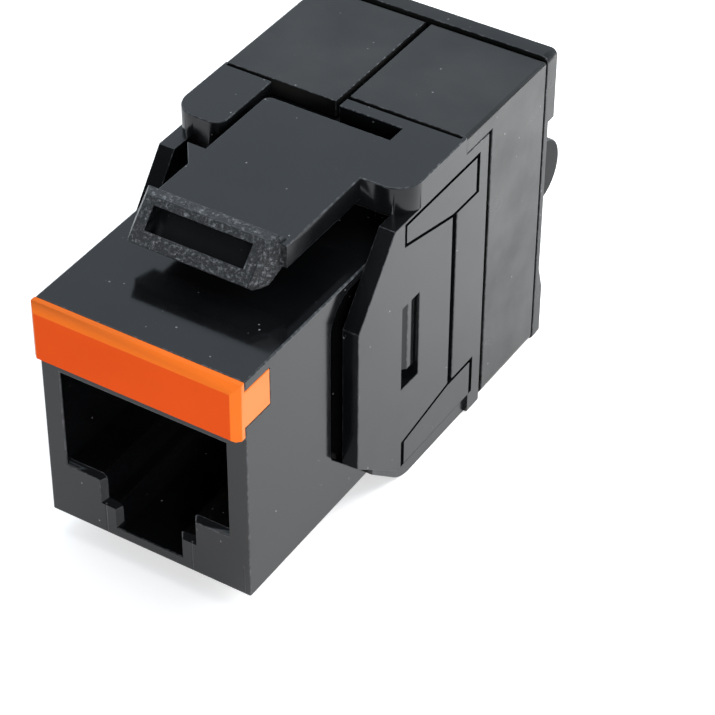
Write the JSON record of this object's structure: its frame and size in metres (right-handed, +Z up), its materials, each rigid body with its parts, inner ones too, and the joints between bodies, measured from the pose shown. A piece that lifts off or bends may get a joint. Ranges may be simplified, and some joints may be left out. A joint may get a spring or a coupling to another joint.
{
  "type": "keystone jack",
  "caption": "Toolless RJ45 keystone jack with a sprung latch tongue, side snap plates, hinged rear doors, rear cap and a push-on colour clip.",
  "frame": {"origin": "bottom centre of the nose's front face, at the plane of the wall plate's face", "axes": "+X to the right across the jack seen from its face, +Y from the face towards the cable, +Z up towards the latch tongue"},
  "size_m": [0.0168, 0.036, 0.0229],
  "materials": {
    "housing_black": "satin moulded polycarbonate",
    "frame_black": "satin moulded polycarbonate with a fine spark-eroded grain",
    "clip_orange": "satin moulded plastic",
    "comb_black": "moulded",
    "contact_gold": "gold plated phosphor bronze",
    "board_green": "solder resist",
    "blade_tin": "tin plated",
    "door_black": "satin moulded polycarbonate"
  },
  "bodies": {
    "jack": {"jack_housing": "housing_black", "latch_frame": "frame_black", "contact_comb": "comb_black", "circuit_board": "board_green", "terminal_block": "comb_black", "rear_cap": "frame_black", "contact_1": "contact_gold", "terminal_blade_1": "blade_tin", "contact_2": "contact_gold", "terminal_blade_2": "blade_tin", "contact_3": "contact_gold", "terminal_blade_3": "blade_tin", "contact_4": "contact_gold", "terminal_blade_4": "blade_tin", "contact_5": "contact_gold", "terminal_blade_5": "blade_tin", "contact_6": "contact_gold", "terminal_blade_6": "blade_tin", "contact_7": "contact_gold", "terminal_blade_7": "blade_tin", "contact_8": "contact_gold", "terminal_blade_8": "blade_tin"},
    "clip": {"colour_clip": "clip_orange"},
    "right_leaf": {"right_door": "door_black"},
    "left_leaf": {"left_door": "door_black"}
  },
  "joints": [
    {"name": "clip_slide", "type": "slide", "parent": "jack", "child": "clip", "axis": [0, -1, 0], "range_m": [0, 0.012]},
    {"name": "right_door_hinge", "type": "hinge", "parent": "jack", "child": "right_leaf", "pos_m": [0.00725, 0.0288, -0.0009], "axis": [0, 1, 0], "range_deg": [0, 90]},
    {"name": "left_door_hinge", "type": "hinge", "parent": "jack", "child": "left_leaf", "pos_m": [-0.00725, 0.0288, -0.0009], "axis": [0, -1, 0], "range_deg": [0, 90]}
  ]
}
